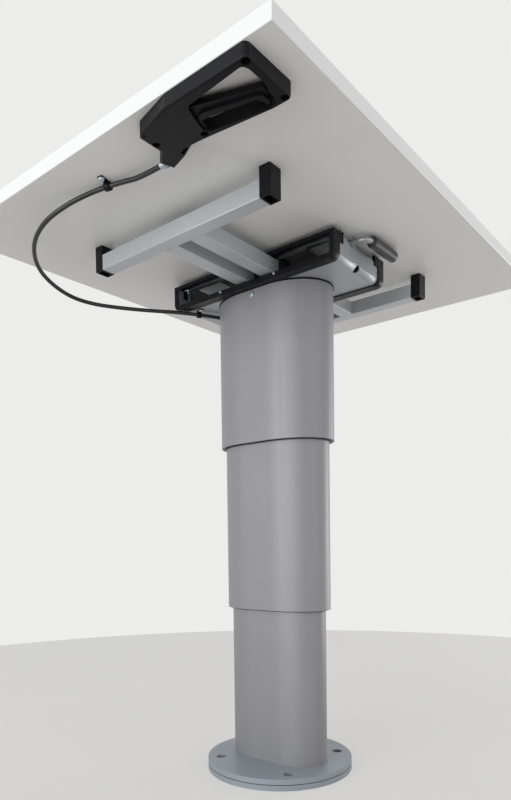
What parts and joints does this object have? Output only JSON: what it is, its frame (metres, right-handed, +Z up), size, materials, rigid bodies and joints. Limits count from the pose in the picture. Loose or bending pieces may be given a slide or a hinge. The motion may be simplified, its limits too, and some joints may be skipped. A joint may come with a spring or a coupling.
{
  "type": "table frame",
  "caption": "Height-adjustable pedestal table frame: round floor base, telescoping oval column, cross-slide tray, H-shaped top frame under a board, with release handle and cable.",
  "frame": {"origin": "centre of the base's underside, on the column's axis", "axes": "+Z up along the column, +X along the tray and the end bars towards the lock lever, +Y along the long bars, away from the handle's edge"},
  "size_m": [0.483, 0.607, 0.6951],
  "materials": {
    "base_paint": "satin paint, bluish grey",
    "column_grey": "satin silver grey coat",
    "black_plastic": "moulded, fine grain",
    "zinc": "bluish zinc plate",
    "steel": "bright drawn steel",
    "spring_black": "black gloss paint",
    "cast_alloy": "as cast",
    "tray_steel": "light blue-grey, satin",
    "bar_silver": "silver powder coat",
    "board_white": "white laminate on board",
    "grip_anthracite": "soft anthracite",
    "cable_black": "smooth black jacket"
  },
  "bodies": {
    "base": {"base_plate": "base_paint", "slide_ring": "black_plastic", "swivel_hub": "steel", "hub_screws": "zinc"},
    "pedestal": {"upper_flange": "base_paint", "lower_tube": "column_grey", "lower_guide_collar": "black_plastic", "spring_seat": "steel", "spring_a_cylinder": "spring_black"},
    "middle_stage": {"middle_tube": "column_grey", "middle_bush": "black_plastic", "middle_guide_collar": "black_plastic", "middle_top_plate": "steel", "spring_a_rod": "steel", "spring_b_cylinder": "spring_black"},
    "upper_stage": {"upper_tube": "column_grey", "upper_bush": "black_plastic", "column_head": "cast_alloy", "head_gasket": "black_plastic", "head_screws": "zinc", "rocker_pin": "zinc", "spring_b_rod": "steel", "tray": "tray_steel", "front_trim": "black_plastic", "rear_trim": "black_plastic", "trim_clips": "black_plastic", "tray_small_screws": "zinc", "rail_bracket_left": "steel", "rail_bracket_right": "steel", "guide_rails": "steel", "bracket_bolts": "zinc", "brake_bar": "steel", "cable_clip_tray": "black_plastic", "cable_stop": "black_plastic", "cable_tray_half": "cable_black"},
    "valve_rocker": {"valve_rocker": "steel"},
    "carriage": {"carriage_base": "steel", "carriage_top": "steel", "carriage_screws": "zinc", "bar_guides": "black_plastic", "rail_shoes": "black_plastic"},
    "lock_lever": {"lock_rod": "steel", "lock_grip": "grip_anthracite"},
    "top_frame": {"end_bar_front": "bar_silver", "end_bar_rear": "bar_silver", "long_bar_left": "bar_silver", "long_bar_right": "bar_silver", "cap_front_left": "black_plastic", "cap_front_right": "black_plastic", "cap_rear_left": "black_plastic", "cap_rear_right": "black_plastic", "board_screws": "zinc", "table_top": "board_white", "handle_body": "black_plastic", "trigger_pin": "zinc", "trigger_spring": "zinc", "cable_nipple": "zinc", "cable_clip_board": "black_plastic", "cable_handle_half": "cable_black"},
    "trigger": {"trigger": "black_plastic"}
  },
  "joints": [
    {"name": "base_swivel", "type": "hinge", "parent": "base", "child": "pedestal", "pos_m": [0, 0, 0.01], "axis": [0, 0, 1], "continuous": true},
    {"name": "lift_lower", "type": "slide", "parent": "pedestal", "child": "middle_stage", "axis": [0, 0, 1], "range_m": [-0.2, 0]},
    {"name": "lift_upper", "type": "slide", "parent": "middle_stage", "child": "upper_stage", "axis": [0, 0, 1], "range_m": [-0.135, 0]},
    {"name": "cross_slide", "type": "slide", "parent": "upper_stage", "child": "carriage", "axis": [1, 0, 0], "range_m": [-0.045, 0.024], "deforming": ["cable_tray_half"]},
    {"name": "long_slide", "type": "slide", "parent": "carriage", "child": "top_frame", "axis": [0, 1, 0], "range_m": [-0.074, 0.118], "deforming": ["cable_handle_half"]},
    {"name": "lock_turn", "type": "hinge", "parent": "upper_stage", "child": "lock_lever", "pos_m": [0.13, -0.016, 0.672], "axis": [-1, 0, 0], "range_deg": [0, 90]},
    {"name": "trigger_pull", "type": "hinge", "parent": "top_frame", "child": "trigger", "pos_m": [0.137, -0.3075, 0.674], "axis": [0, 0, -1], "range_deg": [0, 15], "stiffness_Nm_per_rad": 0.6, "springref_deg": -2.86},
    {"name": "rocker_tilt", "type": "hinge", "parent": "upper_stage", "child": "valve_rocker", "pos_m": [-0.014, 0, 0.6375], "axis": [0, 1, 0], "range_deg": [0, 3]}
  ],
  "couplings": [
    {"joint": "lift_upper", "follows": "lift_lower", "ratio": 0.675},
    {"joint": "rocker_tilt", "follows": "trigger_pull", "ratio": 0.2}
  ]
}
